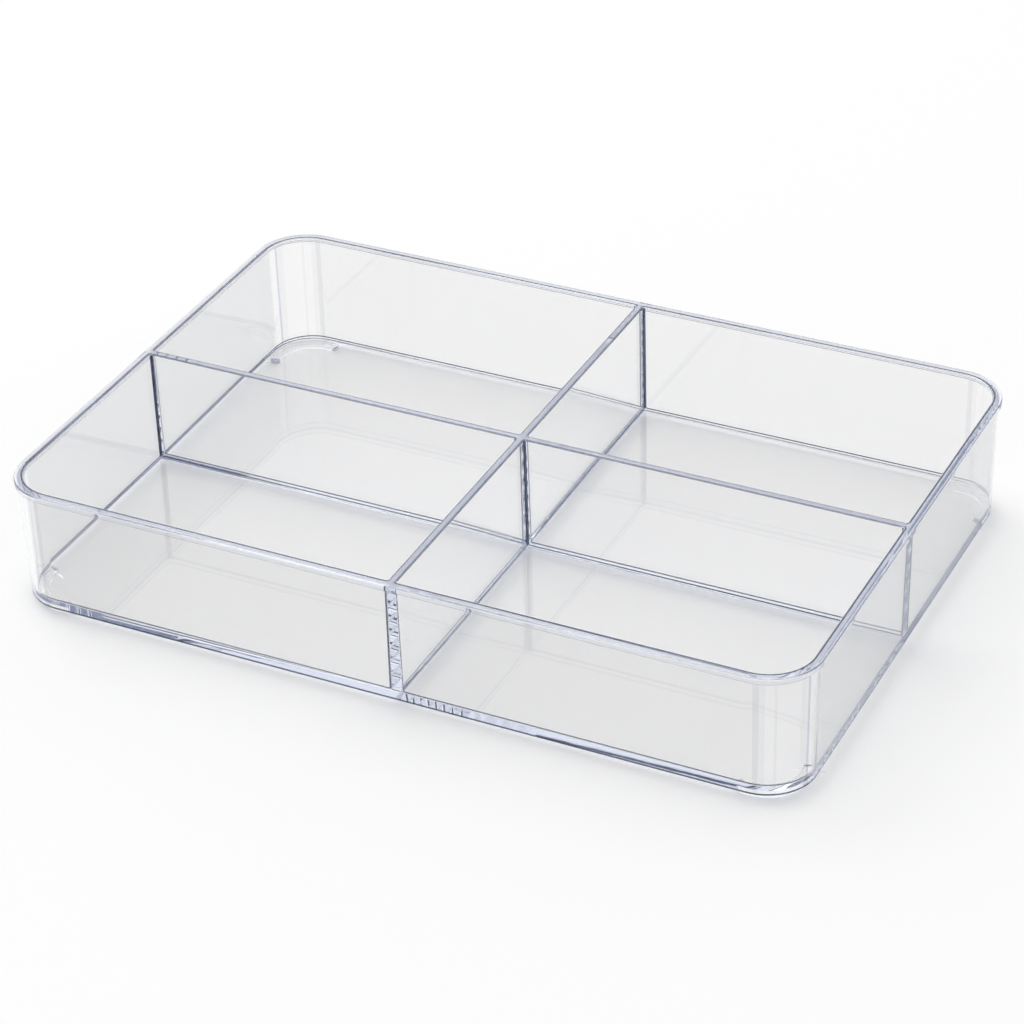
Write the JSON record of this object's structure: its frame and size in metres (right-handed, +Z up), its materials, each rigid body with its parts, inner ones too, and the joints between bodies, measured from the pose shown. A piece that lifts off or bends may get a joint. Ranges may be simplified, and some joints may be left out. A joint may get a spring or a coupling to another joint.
{
  "type": "drawer organizer",
  "caption": "Clear moulded plastic drawer tray with rounded corners, crossed dividers and low curved feet.",
  "frame": {"origin": "under the middle of the tray, on the surface that its four feet stand on", "axes": "+X along the tray's length, +Y along its width from front to back, +Z up out of its open top"},
  "size_m": [0.304, 0.21, 0.05],
  "materials": {
    "clear_plastic": "clear crystal polystyrene with a polished mould surface, colourless and glossy"
  },
  "bodies": {
    "root": {"tray": "clear_plastic"}
  },
  "joints": []
}
